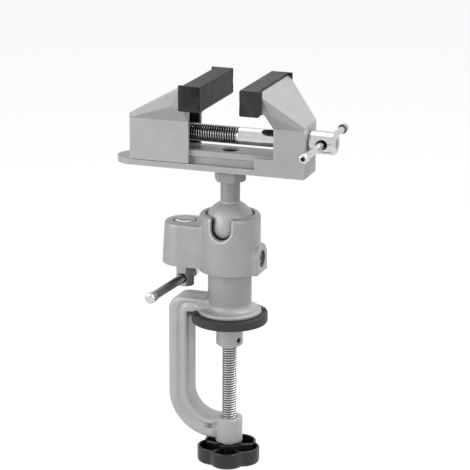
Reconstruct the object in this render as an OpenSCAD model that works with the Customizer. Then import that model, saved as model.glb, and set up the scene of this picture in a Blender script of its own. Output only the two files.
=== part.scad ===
// Clamp-on table vise: a small two-jaw vise on a ball-and-socket swivel, carried by a C-clamp.
// The origin is the centre of the pad ring's underside, where it rests on the table top.
// X runs along the lead screw towards its head, Z is up, and lengths are in millimetres.

/* [Table clamp] */
// Radius of the pad ring that rests on the table
ring_r = 30.5; // [29:0.5:36]
// Thickness of the pad ring
ring_t = 7.6; // [5:0.2:9]
// Radius of the flange that carries the pad ring
flange_r = 25.5; // [23:0.5:26]
// Thickness of the flange at its rim
flange_t = 3.4; // [2.4:0.2:5]
// Radius of the swivel post
post_r = 17.5; // [15:0.5:18]
// Clear height from the pad ring down to the lower boss
throat_h = 81.5; // [70:0.5:130]
// Clear space between the pad ring and the spine
spine_gap = 1.5; // [1.5:0.5:20]
// Thickness of the spine and of the lower arm
spine_t = 16.6; // [13:0.2:19]
// Height of the top arm
arm_t = 12; // [11:0.2:15]
// Width of the frame's bar
bar_w = 23; // [19:0.5:27]
// Rounding of the frame's edges
edge_r = 3.6; // [2:0.2:5]
// Outer bend radius of the lower corner
lower_r = 37.6; // [30:0.2:42]
// Radius of the threaded boss
boss_r = 10.9; // [9:0.1:13]
// Length of the threaded boss
boss_l = 20.5; // [16:0.5:30]

/* [Clamp screw, foot and knob] */
// Diameter of the clamp screw's thread
clamp_d = 12; // [8:1:14]
// Gap between the pad ring and the foot, as drawn
foot_gap = 3; // [2:0.5:40]
// Radius of the pressure foot
foot_r = 10.8; // [10:0.1:14]
// Height of the pressure foot
foot_h = 16.8; // [13:0.2:20]
// Diameter of the set screw in the foot
set_d = 4.5; // [3:0.5:5]
// Radius over the knob's lobes
knob_r = 25.9; // [23:0.1:32]
// Depth of the valleys between the lobes
knob_valley = 4; // [1.5:0.1:4.2]
// Number of lobes
knob_lobes = 5; // [4:1:8]
// Height of the knob's rim
knob_h = 13.4; // [11:0.2:18]
// Wall of the knob's rim
knob_wall = 2; // [1.6:0.1:4]
// Radius of the knob's hub
hub_r = 10.2; // [8:0.1:12]

/* [Swivel head] */
// Height of the housing's underside above the table
head_z = 43; // [40:0.5:70]
// Height of the ball's centre above the housing's underside
socket_up = 37.8; // [36:0.2:44]
// Wall of the socket around the ball
socket_wall = 4.5; // [3.5:0.1:6]
// Height of the rim above the ball's centre
rim_up = 9.4; // [8:0.2:11]
// Rounding of the rim's outer edge
rim_round = 3.4; // [2:0.2:4]
// Distance from the post's axis to the lock bolt's axis
lock_x = 38; // [36:0.5:44]
// Radius of the lock boss at its top
lock_r = 16.3; // [15:0.1:20]
// Draft of the lock boss, added to its radius at the bottom
lock_draft = 1.9; // [0:0.1:2]
// Drop of the lock boss's top below the ball's centre
lock_drop = 0.2; // [0:0.1:3]
// Lift of the lock boss's underside above the housing's
lock_lift = 3; // [1:0.5:5]
// Radius of the recess on top of the lock boss
recess_r = 9.4; // [8.6:0.1:11]
// Depth from the boss's top to the wedge nut
recess_depth = 4; // [2:0.5:6]
// Radius of the side boss
side_r = 12.6; // [11:0.1:13]
// Length that the side boss stands out of the housing
side_out = 2.9; // [2:0.1:8]
// Height of the side boss's axis above the housing's underside
side_z = 11.5; // [10.5:0.5:13]
// Diameter of the retaining screw
retain_d = 8; // [6:1:8]
// Diameter of the retaining screw's head
retain_head_d = 13; // [10:0.5:14]

/* [Lock lever] */
// Diameter of the lock bolt
lock_d = 8; // [6:1:10]
// Width across the lock bolt's flats
lock_af = 13.8; // [11:0.2:16]
// Length of the lock bolt's hexagon
lock_hex_l = 19.1; // [15:0.1:22]
// Height of the bar's axis above the hexagon's end
lock_bar_up = 6.4; // [5:0.2:8]
// Diameter of the lock bar
lock_bar_d = 7.2; // [5:0.1:7.4]
// Length of the lock bar over its caps
lock_bar_l = 86; // [70:1:120]
// Length of the bar in front of the bolt's axis, as drawn
lock_bar_front = 66; // [50:1:68]
// Turn of the bar from straight ahead, as drawn
lock_bar_turn = 4.7; // [-10:0.1:20]
// Diameter of the lock bar's caps
lock_cap_d = 8.8; // [7:0.1:10]
// Length of the lock bar's caps
lock_cap_l = 7; // [5:0.5:9]

/* [Ball stud] */
// Radius of the ball
ball_r = 19.7; // [19:0.1:21]
// Radius of the neck
neck_r = 7.75; // [6.5:0.25:8.5]
// Clearance of the neck in the notch, each side
notch_gap = 0.6; // [0.5:0.05:1.2]
// Height of the vise's underside above the ball's centre
stud_h = 44.7; // [40:0.1:60]
// Width across the stud's flats
stud_af = 22.5; // [19:0.5:26]
// Height of the stud's hexagon
stud_hex_h = 9.2; // [6:0.2:12]

/* [Vise base] */
// Width of plate, blocks and jaws' feet
body_w = 31; // [29:0.5:36]
// Thickness of the plate
plate_t = 4.6; // [3.6:0.2:7]
// Length of the plate on the moving jaw's side of the stud
plate_left = 94; // [90:1:120]
// Height of the rail above the plate
rail_h = 10.7; // [9.5:0.1:14]
// Width of the rail's top flange
rail_w = 24.6; // [22:0.2:25]
// Thickness of the rail's top flange
rail_flange = 4.3; // [3:0.1:5]
// Depth of the rail's side grooves
rail_groove = 2.4; // [1.5:0.1:3]
// Diameter of the mounting screw
mount_d = 8; // [6:1:8]
// Diameter of the counterbore for the mounting screw
mount_bore = 13.6; // [13.2:0.1:15]
// Length of the fixed jaw's block
fixed_l = 24.8; // [20:0.2:36]
// Set-back of the fixed jaw's block behind its gripping face
fixed_set = 19.9; // [19:0.1:24]
// Length of the step between rail and fixed block
step_l = 15.4; // [8:0.2:18]

/* [Jaws] */
// Position of the fixed gripping face from the stud's axis
fixed_x = 20.3; // [15:0.1:30]
// Opening of the jaws, as drawn
opening = 31.8; // [20:0.1:50]
// Largest opening of the jaws
max_open = 50; // [50:1:60]
// Length of the moving jaw's block
moving_l = 49; // [44:0.5:60]
// Set-back of the moving jaw's block behind its gripping face
moving_set = 18.1; // [18:0.1:22]
// Depth of the hollow in the moving jaw's block, in front of its nut
hollow_l = 12; // [6:0.5:12]
// Height of the jaw blocks' shoulders above the lead screw's axis
shoulder_up = 11; // [10.5:0.1:14]
// Height of the moving jaw's rear edge above the shoulder
moving_rear = 3.7; // [2:0.1:8]
// Height of the fixed jaw's rear edge above the shoulder
fixed_rear = 3; // [2:0.1:8]
// Length of the flat behind the moving jaw's pad
moving_flat = 2; // [0.2:0.1:3]
// Length of the flat behind the fixed jaw's pad
fixed_flat = 0.4; // [0.2:0.1:3]
// Width of the jaw pads
pad_w = 78; // [60:1:100]
// Height of the jaw pads
pad_h = 20.2; // [17:0.1:30]
// Height of the pads' underside above the lead screw's axis
pad_up = 24.5; // [24:0.1:32]
// Depth of the pads' top from the gripping face
pad_t = 14.4; // [12:0.2:17]
// Length that the pads' end walls reach past the top
pad_ears = 3.3; // [2:0.1:3.5]
// Wall of the pads at the gripping face
pad_face = 4; // [3:0.2:6]
// Wall of the pads at top, bottom and ends
pad_wall = 2.3; // [1.8:0.1:3]

/* [Lead screw] */
// Diameter of the lead screw
lead_d = 14; // [12:0.5:15]
// Height of the lead screw's axis above the rail
lead_up = 11.9; // [11:0.1:16]
// Length of plain shank from the thread to the fixed gripping face
plain_l = 12.9; // [8:0.1:16]
// Diameter of the lead screw's head
lead_head_d = 18.4; // [17:0.2:22]
// Length of the lead screw's head
lead_head_l = 20; // [16:0.5:26]
// Thickness of the thrust washer
washer_t = 1.6; // [1:0.1:3]
// Length of the threaded nut in the moving jaw
nut_l = 17; // [12:0.5:17]
// Outer diameter of the threaded nut
nut_d = 20; // [18:0.5:21]
// Diameter of the keeper pin
keeper_d = 4; // [3:0.5:5]
// Diameter of the tommy bar
tommy_d = 5.4; // [4.5:0.1:6]
// Length of the tommy bar over its caps
tommy_l = 112; // [90:1:140]
// Diameter of the tommy bar's caps
tommy_cap_d = 7.6; // [7:0.1:10]
// Length of the tommy bar's caps
tommy_cap_l = 7.5; // [5:0.5:10]

/* [Fits] */
// Radial clearance of running fits
run = 0.05; // [0.03:0.01:0.1]
// Clearance between parts that slide or pass each other
slide = 0.15; // [0.1:0.05:0.3]
// Radial clearance of the bars in their cross holes
bar_play = 0.3; // [0.2:0.05:0.6]

/* [Hidden] */
$fn = 64;
eps = 0.01;
over = 1;

// Heights of the stack, from the table up
arm_top = ring_t + arm_t;
ball_z = head_z + socket_up;
plate_z = ball_z + stud_h;
plate_top = plate_z + plate_t;
rail_top = plate_top + rail_h;
lead_z = rail_top + lead_up;
shoulder_z = lead_z + shoulder_up;
pad_z = lead_z + pad_up;
pad_top = pad_z + pad_h;
nose_top = pad_top - pad_wall;
nose_z = pad_z + pad_wall;

// Table clamp
spine_x = ring_r + spine_gap;
spine_out = spine_x + spine_t;
boss_top = -throat_h;
boss_z = boss_top - boss_l;
lower_set = 0.2;
lower_top = boss_top - lower_set;
lower_x = lower_r - spine_out;
lower_z = lower_top + lower_r - spine_t;
inner_fillet = spine_gap * 0.85;
root_r = 4;
lug_in = flange_r + 0.5;
lug_out = ring_r - 0.8;
lug_w = 5;
lug_h = 1.6;
lug_turn = 31;

// Clamp screw, foot and knob
clamp_r = clamp_d / 2;
foot_top = -foot_gap;
foot_z = foot_top - foot_h;
tip_r = clamp_r - 1;
foot_cap = 4.5;
tip_top = foot_top - foot_cap;
set_up = 5.5;
set_z = foot_z + set_up;
set_turn = -26;
set_groove = 0.9;
knob_clear = 2;
hub_top = boss_z - knob_clear;
rim_top = hub_top - 1.4;
knob_z = rim_top - knob_h;
knob_floor = 4.5;
knob_turn = 66;
lobe_r = knob_r * 0.53;
lobe_x = knob_r - lobe_r;
rib_w = 3;
rib_drop = 2;
screw_end = knob_z - 1.2;

// Swivel head
bore_r = ball_r + 0.2;
socket_r = ball_r + 2 * run;
housing_r = bore_r + socket_wall;
housing_top = ball_z + rim_up;
seat_gap = 0.3;
seat_floor = 1.4;
seat_z = ball_z - socket_r - seat_floor;
post_top = seat_z - seat_gap;
bush_z = head_z + 0.6;
notch_r = neck_r + notch_gap;
notch_chamfer = 1.6;
rim_land_r = housing_r - rim_round - 0.6;
mouth_z = ball_z + rim_up * 0.78;
mouth_r = sqrt(pow(socket_r, 2) - pow(mouth_z - ball_z, 2));
lock_top = ball_z - lock_drop;
lock_z = head_z + lock_lift;
boss_round = 3;
side_axis = head_z + side_z;
side_x = housing_r + side_out;
side_recess = 2;
retain_r = retain_d / 2;
retain_head = 3.2;
dog_r = retain_r - 1.2;
groove_depth = 1.5;
groove_h = 2 * dog_r + 0.6;

// Lock lever
lock_bolt_r = lock_d / 2;
wedge_top = lock_top - recess_depth;
wedge_r = recess_r - 0.2;
wedge_tip_r = lock_bolt_r + 1.8;
wedge_l = 10;
wedge_land = 2;
pin_r = 3.2;
pin_z = wedge_top - wedge_land - pin_r;
pin_gap = 0.3;
seat_top = pin_z - pin_r - 0.4;
hex_gap = 0.3;
hex_top = lock_z - hex_gap;
hex_z = hex_top - lock_hex_l;
lock_bar_z = hex_z + lock_bar_up;
lock_bar_r = lock_bar_d / 2;
lock_bar_back = lock_bar_l - lock_bar_front;
hex_over_flats = 1 / cos(30);

// Vise
half_w = body_w / 2;
plate_end = half_w;
web_w = rail_w - 2 * rail_groove;
fixed_in = fixed_x + fixed_set;
fixed_out = fixed_in + fixed_l;
step_x = fixed_in - step_l;
moving_x = fixed_x - opening;
moving_in = moving_x - moving_set;
moving_out = moving_in - moving_l;
rail_left = plate_end - plate_left;
jaw_lift = 0.5;
moving_z = plate_top + jaw_lift;
mount_r = mount_d / 2;
mount_head_h = mount_d;
mount_socket = mount_d / 2;
mount_seat = plate_z + plate_t - 0.4;
mount_l = 20;
mount_tip = plate_z - mount_l;
nose_half = pad_w / 2 - pad_wall;
flare_z = pad_z + 1;
flare_in = 4.8;
flare_rise = 13;
knee_half = nose_half - flare_in;
hollow_wall = 2.6;
hollow_top = flare_z - 2;
nut_x = moving_in - hollow_l;
lead_r = lead_d / 2;
lead_tip = fixed_x - max_open - moving_set - hollow_l - nut_l - 0.5;
thread_end = fixed_x - plain_l;
lead_head_x = fixed_out + washer_t;
lead_head_r = lead_head_d / 2;
lead_end = lead_head_x + lead_head_l;
groove_r = lead_r - 2.2;
keeper_r = keeper_d / 2;
keeper_x = fixed_in + fixed_l / 2;
keeper_y = groove_r + keeper_r + slide;
keeper_over = 5;
keeper_top = lead_z + keeper_over;
tommy_r = tommy_d / 2;
tommy_x = lead_head_x + lead_head_l / 2;

// Rectangle with round corners, from squares and circles
module rounded_rect(w, h, r) {
    square([w - 2 * r, h], center = true);
    square([w, h - 2 * r], center = true);
    for (sx = [-1, 1], sy = [-1, 1])
        translate([sx * (w / 2 - r), sy * (h / 2 - r)])
            circle(r);
}

// Rectangle from x = 0 to x = w whose far two corners are round
module rounded_end(w, h, r) {
    translate([0, -h / 2])
        square([w - r, h]);
    translate([0, -h / 2 + r])
        square([w, h - 2 * r]);
    for (sy = [-1, 1])
        translate([w - r, sy * (h / 2 - r)])
            circle(r);
}

// Cylinder along X from x0 to x1
module rod_x(x0, x1, r) {
    translate([x0, 0, 0])
        rotate([0, 90, 0])
            cylinder(h = x1 - x0, r = r);
}

// Cylinder along Y from y0 to y1
module rod_y(y0, y1, r) {
    translate([0, y0, 0])
        rotate([-90, 0, 0])
            cylinder(h = y1 - y0, r = r);
}

// Cylinder along X with a chamfer c at its far end
module rod_x_chamfered(x0, x1, r, c) {
    rod_x(x0, x1 - c, r);
    translate([x1 - c, 0, 0])
        rotate([0, 90, 0])
            cylinder(h = c, r1 = r, r2 = r - c);
}

// Side profile in X and Z, drawn across the whole width w
module across(w) {
    translate([0, w / 2, 0])
        rotate([90, 0, 0])
            linear_extrude(w)
                children();
}

// Round column with its top outer edge rounded by e
module round_topped(r_bottom, r_top, h, e) {
    rotate_extrude() {
        polygon([[0, 0], [r_bottom, 0], [r_top, h - e], [r_top - e, h - e], [r_top - e, h], [0, h]]);
        translate([r_top - e, h - e])
            intersection() {
                circle(e);
                square(e);
            }
    }
}

// Bar end cap: a short cylinder with a domed outer end, along +Y from y0
module bar_cap(y0, r, l) {
    dome = r * 0.5;
    translate([0, y0, 0])
        rotate([-90, 0, 0])
            rotate_extrude() {
                square([r, l - dome]);
                translate([0, l - dome])
                    square([r - dome, dome]);
                translate([r - dome, l - dome])
                    intersection() {
                        circle(dome);
                        square(dome);
                    }
            }
}

// Two caps at the ends of a bar that runs from y0 to y1, each on a spigot of the bar
module bar_caps(y0, y1, r, l, spigot_r) {
    difference() {
        union() {
            bar_cap(y1 - l, r, l);
            mirror([0, 1, 0])
                bar_cap(-y0 - l, r, l);
        }
        rod_y(y0 + l * 0.4, y1 - l * 0.4, spigot_r);
    }
}

// Frame of the table clamp: post, flange, top arm, spine, lower arm and threaded boss
module clamp_frame() {
    color("silver")
        difference() {
            union() {
                translate([0, 0, ring_t])
                    cylinder(h = post_top - ring_t, r = post_r);
                post_flange();
                top_arm();
                spine();
                lower_arm();
                translate([0, 0, boss_z])
                    cylinder(h = boss_l, r = boss_r);
            }
            retaining_groove();
            translate([0, 0, boss_z - over])
                cylinder(h = boss_l + 2 * over, r = clamp_r + run);
        }
}

// Flange with a round rim and a hollow fillet up to the post
module post_flange() {
    rim = flange_t / 2 - 0.2;
    top = ring_t + flange_t;
    rotate_extrude() {
        translate([0, ring_t])
            square([flange_r, flange_t - rim]);
        translate([0, ring_t])
            square([flange_r - rim, flange_t]);
        translate([flange_r - rim, top - rim])
            circle(rim);
        difference() {
            translate([0, top - eps])
                square([post_r + root_r, root_r + eps]);
            translate([post_r + root_r, top + root_r])
                circle(root_r);
        }
    }
}

// Arm from the post over the ring to the spine, with the rounded outer corner
module top_arm() {
    translate([-spine_out + arm_t, 0, ring_t])
        rotate([90, 0, 0])
            rotate([0, 0, 90])
                rotate_extrude(angle = 90)
                    rounded_end(arm_t, bar_w, edge_r);
    translate([-spine_out + arm_t, 0, ring_t])
        rotate([90, 0, 90])
            linear_extrude(spine_out - arm_t)
                rotate([0, 0, 90])
                    rounded_end(arm_t, bar_w, edge_r);
    difference() {
        translate([-spine_x, -bar_w / 2 + edge_r, ring_t - inner_fillet])
            cube([inner_fillet, bar_w - 2 * edge_r, inner_fillet]);
        translate([-spine_x + inner_fillet, 0, ring_t - inner_fillet])
            rod_y(-bar_w, bar_w, inner_fillet);
    }
}

// Upright of the frame
module spine() {
    translate([-spine_x - spine_t / 2, 0, lower_z])
        linear_extrude(ring_t - lower_z)
            rounded_rect(spine_t, bar_w, edge_r);
}

// Bent lower arm that carries the boss
module lower_arm() {
    translate([lower_x, 0, lower_z])
        rotate([90, 0, 0])
            rotate([0, 0, 180])
                rotate_extrude(angle = 90)
                    translate([lower_r - spine_t / 2, 0])
                        rounded_rect(spine_t, bar_w, edge_r);
    intersection() {
        translate([lower_x, 0, lower_top - spine_t / 2])
            rotate([90, 0, 90])
                linear_extrude(-lower_x)
                    rounded_rect(bar_w, spine_t, edge_r);
        translate([0, 0, lower_top - spine_t - over])
            linear_extrude(spine_t + 2 * over)
                polygon([[lower_x, -bar_w / 2], [-boss_r / 2, -boss_r * 0.7], [0, -boss_r * 0.6],
                    [0, boss_r * 0.6], [-boss_r / 2, boss_r * 0.7], [lower_x, bar_w / 2]]);
    }
}

// Groove round the post that the retaining screw's tip runs in
module retaining_groove() {
    translate([0, 0, side_axis])
        rotate_extrude()
            translate([post_r - groove_depth, -groove_h / 2])
                square([groove_depth + over, groove_h]);
}

// Pad ring that grips the table top, held to the flange by two lugs
module clamp_ring() {
    bevel = 1;
    color("dimgray") {
        rotate_extrude()
            polygon([[0, 0], [ring_r - bevel, 0], [ring_r, bevel], [ring_r, ring_t], [0, ring_t]]);
        for (a = [lug_turn, lug_turn + 180])
            rotate([0, 0, a])
                translate([lug_in, -lug_w / 2, ring_t - eps])
                    cube([lug_out - lug_in, lug_w, lug_h + eps]);
    }
}

// Cup that the clamp screw presses against the table's underside
module pressure_foot() {
    bevel = 1.2;
    color("silver")
        difference() {
            translate([0, 0, foot_z])
                rotate_extrude()
                    polygon([[0, 0], [foot_r - bevel, 0], [foot_r, bevel], [foot_r, foot_h - bevel],
                        [foot_r - bevel, foot_h], [0, foot_h]]);
            translate([0, 0, foot_z - over])
                cylinder(h = tip_top + slide - foot_z + over, r = tip_r + run);
            translate([0, 0, set_z])
                rotate([0, 0, set_turn])
                    rod_x(0, foot_r + over, set_d / 2);
        }
}

// Set screw in the foot, its tip in the clamp screw's groove
module foot_set_screw() {
    color("dimgray")
        translate([0, 0, set_z])
            rotate([0, 0, set_turn]) {
                rod_x(tip_r - set_groove + slide, tip_r + 1.2, set_d / 2 - 0.9);
                rod_x(tip_r + 1.1, foot_r - 2.4, set_d / 2);
            }
}

// Clamp screw: grooved tip in the foot, thread through the boss, end riveted under the knob
module clamp_screw() {
    set_h = set_d - 1.8 + 2 * slide;
    color("lightgray")
        difference() {
            union() {
                translate([0, 0, foot_z - slide - eps])
                    cylinder(h = tip_top - foot_z + slide, r = tip_r);
                translate([0, 0, hub_top])
                    cylinder(h = foot_z - slide - hub_top, r = clamp_r);
                translate([0, 0, screw_end])
                    cylinder(h = hub_top - screw_end + eps, r = clamp_r - 0.6);
            }
            translate([0, 0, set_z])
                rotate_extrude()
                    translate([tip_r - set_groove, -set_h / 2])
                        square([set_groove + over, set_h]);
        }
}

// Outline of the knob, drawn in by inset
module knob_outline(inset) {
    circle(knob_r - knob_valley - inset);
    for (i = [0 : knob_lobes - 1])
        rotate([0, 0, knob_turn + i * 360 / knob_lobes])
            translate([lobe_x, 0])
                circle(lobe_r - inset);
}

// Lobed knob with an open top: rim, hub and a rib at each valley
module clamp_knob() {
    round = 3.2;
    color("black")
        difference() {
            union() {
                intersection() {
                    translate([0, 0, knob_z])
                        difference() {
                            linear_extrude(knob_h)
                                knob_outline(0);
                            translate([0, 0, knob_floor])
                                linear_extrude(knob_h)
                                    knob_outline(knob_wall);
                        }
                    translate([0, 0, knob_z])
                        rotate_extrude() {
                            translate([0, round])
                                square([knob_r + over, knob_h]);
                            square([knob_r - round, knob_h]);
                            translate([knob_r - round, round])
                                circle(round);
                        }
                }
                translate([0, 0, knob_z])
                    cylinder(h = hub_top - knob_z, r = hub_r);
                for (i = [0 : knob_lobes - 1])
                    rotate([0, 0, knob_turn + (i + 0.5) * 360 / knob_lobes])
                        translate([hub_r - 1, -rib_w / 2, knob_z + knob_floor - eps])
                            cube([knob_r - knob_valley - knob_wall / 2 - hub_r + 1, rib_w,
                                knob_h - knob_floor - rib_drop]);
            }
            translate([0, 0, knob_z - over])
                cylinder(h = hub_top - knob_z + 2 * over, r = clamp_r - 0.6);
        }
}

// Socket housing with its two bosses, its ball socket and the notch for the neck
module socket_housing() {
    color("silver")
        difference() {
            union() {
                translate([0, 0, head_z])
                    round_topped(housing_r, housing_r, housing_top - head_z, rim_round);
                translate([-lock_x, 0, lock_z])
                    round_topped(lock_r + lock_draft, lock_r, lock_top - lock_z, boss_round);
                lock_web(lock_r + lock_draft, lock_r, lock_top - lock_z, boss_round);
                side_boss();
            }
            translate([0, 0, head_z - over])
                cylinder(h = ball_z - head_z + over, r = bore_r);
            translate([0, 0, ball_z])
                sphere(socket_r);
            mouth_cone();
            neck_notch();
            lock_bores();
            side_bores();
        }
}

// Web between the lock boss and the housing, with the boss's own side profile
module lock_web(r_bottom, r_top, h, e) {
    translate([-lock_x, 0, lock_z])
        rotate([90, 0, 90])
            linear_extrude(lock_x - post_r)
                for (s = [0, 1])
                    mirror([s, 0]) {
                        polygon([[0, 0], [r_bottom, 0], [r_top, h - e], [r_top - e, h - e],
                            [r_top - e, h], [0, h]]);
                        translate([r_top - e, h - e])
                            intersection() {
                                circle(e);
                                square(e);
                            }
                    }
}

// Conical lead-in at the socket's mouth, which leaves a narrow flat on the rim
module mouth_cone() {
    below = 2;
    slope = (rim_land_r - mouth_r) / (housing_top - mouth_z);
    translate([0, 0, mouth_z - below])
        cylinder(h = housing_top - mouth_z + below + over, r1 = mouth_r - below * slope,
            r2 = rim_land_r + over * slope);
}

// Side boss: round above its axis, straight-sided down to the housing's underside
module side_boss() {
    chamfer = 0.8;
    intersection() {
        union() {
            translate([0, 0, side_axis])
                rod_x_chamfered(0, side_x, side_r, chamfer);
            translate([0, 0, head_z])
                linear_extrude(side_z)
                    polygon([[0, -side_r], [side_x - chamfer, -side_r], [side_x, chamfer - side_r],
                        [side_x, side_r - chamfer], [side_x - chamfer, side_r], [0, side_r]]);
        }
        translate([0, -side_r, head_z])
            cube([side_x, 2 * side_r, 2 * side_r + side_z]);
    }
}

// Notch that lets the neck lie down, with a bevelled outer edge
module neck_notch() {
    h = rim_up + over;
    wide_r = notch_r + notch_chamfer;
    y_out = housing_r + over;
    y_in = housing_r - notch_chamfer;
    translate([0, 0, ball_z]) {
        rod_y(-y_out, 0, notch_r);
        translate([-notch_r, -y_out, 0])
            cube([2 * notch_r, y_out, h]);
        translate([0, -y_in, 0])
            rotate([90, 0, 0])
                cylinder(h = notch_chamfer + over, r1 = notch_r, r2 = wide_r + over);
        linear_extrude(h)
            polygon([[-notch_r, -y_in], [-wide_r - over, -y_out], [wide_r + over, -y_out], [notch_r, -y_in]]);
    }
}

// Recess, bolt hole and brake pin hole of the lock boss
module lock_bores() {
    translate([-lock_x, 0, 0]) {
        translate([0, 0, wedge_top - wedge_l - 1])
            cylinder(h = lock_top - wedge_top + wedge_l + 1 + over, r = recess_r);
        translate([0, 0, lock_z - over])
            cylinder(h = lock_top - lock_z, r = lock_bolt_r + run);
    }
    translate([0, 0, pin_z])
        rod_x(-lock_x, 0, pin_r + run);
}

// Holes of the side boss: head recess and screw hole
module side_bores() {
    translate([0, 0, side_axis]) {
        rod_x(0, side_x + over, retain_r + run);
        rod_x(side_x - side_recess - retain_head, side_x + over, retain_head_d / 2 + run);
    }
}

// Bush that turns on the post
module swivel_bush() {
    color("tan")
        difference() {
            translate([0, 0, bush_z])
                cylinder(h = seat_z - bush_z, r = bore_r);
            translate([0, 0, bush_z - over])
                cylinder(h = seat_z - bush_z + 2 * over, r = post_r + run);
            translate([0, 0, side_axis])
                rod_x(0, bore_r + over, retain_r + 0.3);
        }
}

// Cup under the ball
module ball_seat() {
    color("tan")
        difference() {
            translate([0, 0, seat_z])
                cylinder(h = seat_top - seat_z, r = bore_r);
            translate([0, 0, ball_z])
                sphere(socket_r);
        }
}

// Cap screw whose tip runs in the post's groove and keeps the head on the post
module retaining_screw() {
    head_x = side_x - side_recess - retain_head;
    socket_af = retain_d * 0.75;
    color("dimgray")
        translate([0, 0, side_axis])
            difference() {
                union() {
                    rod_x(post_r - groove_depth + 0.3, bore_r - 0.5, dog_r);
                    rod_x(post_r + 0.5, head_x + eps, retain_r);
                    rod_x_chamfered(head_x, head_x + retain_head, retain_head_d / 2, 0.6);
                }
                translate([head_x + retain_head - 2.2, 0, 0])
                    rotate([0, 90, 0])
                        cylinder(h = 2.2 + over, r = socket_af / 2 * hex_over_flats, $fn = 6);
            }
}

// Wedge nut in the lock boss: drawn down by the bolt, its cone pushes the brake pin
module lock_wedge() {
    color("lightgray")
        translate([-lock_x, 0, wedge_top])
            difference() {
                rotate_extrude()
                    polygon([[0, 0], [wedge_r - 1, 0], [wedge_r, -1], [wedge_r, -wedge_land],
                        [wedge_tip_r, -wedge_l], [0, -wedge_l]]);
                translate([0, 0, -wedge_l - over])
                    cylinder(h = wedge_l + 2 * over, r = lock_bolt_r + run);
            }
}

// Pin between the wedge's cone and the ball, its inner end hollowed to fit the ball
module brake_pin() {
    color("tan")
        difference() {
            translate([0, 0, pin_z])
                rod_x(-lock_x + wedge_tip_r, -ball_r / 2, pin_r);
            translate([0, 0, ball_z])
                sphere(socket_r);
            translate([-lock_x, 0, wedge_top - wedge_l])
                cylinder(h = wedge_l - wedge_land, r1 = wedge_tip_r + pin_gap, r2 = wedge_r + pin_gap);
        }
}

// Lock bolt: threaded shank and a long hexagon with the cross hole for its bar
module lock_bolt() {
    bevel = 0.8;
    corner_r = lock_af / 2 * hex_over_flats;
    color("gray")
        translate([-lock_x, 0, 0])
            difference() {
                union() {
                    translate([0, 0, hex_top - eps])
                        cylinder(h = wedge_top + 1.5 - hex_top, r = lock_bolt_r);
                    intersection() {
                        translate([0, 0, hex_z])
                            rotate([0, 0, -lock_bar_turn])
                                cylinder(h = lock_hex_l, r = corner_r, $fn = 6);
                        translate([0, 0, hex_z])
                            rotate_extrude()
                                polygon([[0, 0], [corner_r - bevel, 0], [corner_r, bevel],
                                    [corner_r, lock_hex_l], [0, lock_hex_l]]);
                    }
                }
                lock_bar_place()
                    rod_y(-lock_af, lock_af, lock_bar_r + bar_play);
            }
}

// Place of the lock bar, relative to the bolt's axis; its front points along -Y
module lock_bar_place() {
    translate([0, 0, lock_bar_z])
        rotate([0, 0, -lock_bar_turn])
            children();
}

// Sliding bar that turns the lock bolt
module lock_bar() {
    color("gray")
        translate([-lock_x, 0, 0])
            lock_bar_place() {
                rod_y(-lock_bar_front + lock_cap_l, lock_bar_back - lock_cap_l, lock_bar_r);
                rod_y(-lock_bar_front + lock_cap_l * 0.4, lock_bar_back - lock_cap_l * 0.4, lock_bar_r - 0.8);
            }
}

// Caps at both ends of the lock bar
module lock_bar_caps() {
    color("gainsboro")
        translate([-lock_x, 0, 0])
            lock_bar_place()
                bar_caps(-lock_bar_front, lock_bar_back, lock_cap_d / 2, lock_cap_l, lock_bar_r - 0.8);
}

// Ball, neck and hexagon that carry the vise
module ball_stud() {
    corner_r = stud_af / 2 * hex_over_flats;
    hex_z0 = plate_z - stud_hex_h;
    foot_fillet = 1.2;
    chamfer = 1.1;
    color("darkgray")
        difference() {
            union() {
                translate([0, 0, ball_z])
                    sphere(ball_r);
                translate([0, 0, ball_z])
                    cylinder(h = hex_z0 - ball_z + 1, r = neck_r);
                neck_fillet(foot_fillet);
                intersection() {
                    translate([0, 0, hex_z0])
                        cylinder(h = stud_hex_h, r = corner_r, $fn = 6);
                    translate([0, 0, hex_z0])
                        rotate_extrude()
                            polygon([[0, 0], [corner_r - chamfer, 0], [corner_r, chamfer],
                                [corner_r, stud_hex_h], [0, stud_hex_h]]);
                }
            }
            translate([0, 0, mount_tip - 1])
                cylinder(h = plate_z - mount_tip + 1 + over, r = mount_r + run);
        }
}

// Hollow fillet of radius f between the neck and the ball
module neck_fillet(f) {
    fx = neck_r + f;
    fz = sqrt(pow(ball_r + f, 2) - pow(fx, 2));
    touch = ball_r / (ball_r + f);
    translate([0, 0, ball_z])
        rotate_extrude()
            difference() {
                polygon([[0, fz * touch - 1], [fx * touch, fz * touch], [fx, fz], [neck_r, fz], [0, fz]]);
                translate([fx, fz])
                    circle(f);
            }
}

// Plate, T-shaped rail and fixed jaw in one casting
module vise_base() {
    color("silver")
        difference() {
            union() {
                base_plate();
                rail();
                translate([step_x, -half_w, plate_top - eps])
                    cube([fixed_in - step_x + eps, body_w, rail_top - plate_top - 1.6]);
                translate([fixed_in, -half_w, plate_z])
                    cube([fixed_l, body_w, shoulder_z - plate_z]);
                jaw_head(fixed_out, fixed_in, fixed_x, fixed_rear, fixed_flat, 1);
            }
            translate([0, 0, plate_z - over])
                cylinder(h = plate_t + 2 * over, r = mount_r + slide);
            translate([0, 0, mount_seat])
                cylinder(h = rail_top - mount_seat + over, r = mount_bore / 2);
            translate([0, 0, lead_z])
                rod_x(fixed_in - over, fixed_out + over, lead_r + run);
            translate([keeper_x, keeper_y, plate_z - over])
                cylinder(h = keeper_top - plate_z + over, r = keeper_r);
        }
}

// Plate with a round end on the moving jaw's side
module base_plate() {
    translate([0, 0, plate_z])
        linear_extrude(plate_t) {
            translate([-plate_left + plate_end, -half_w])
                square([plate_left - plate_end + fixed_out, body_w]);
            translate([-plate_left + plate_end, 0])
                circle(plate_end);
        }
}

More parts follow.
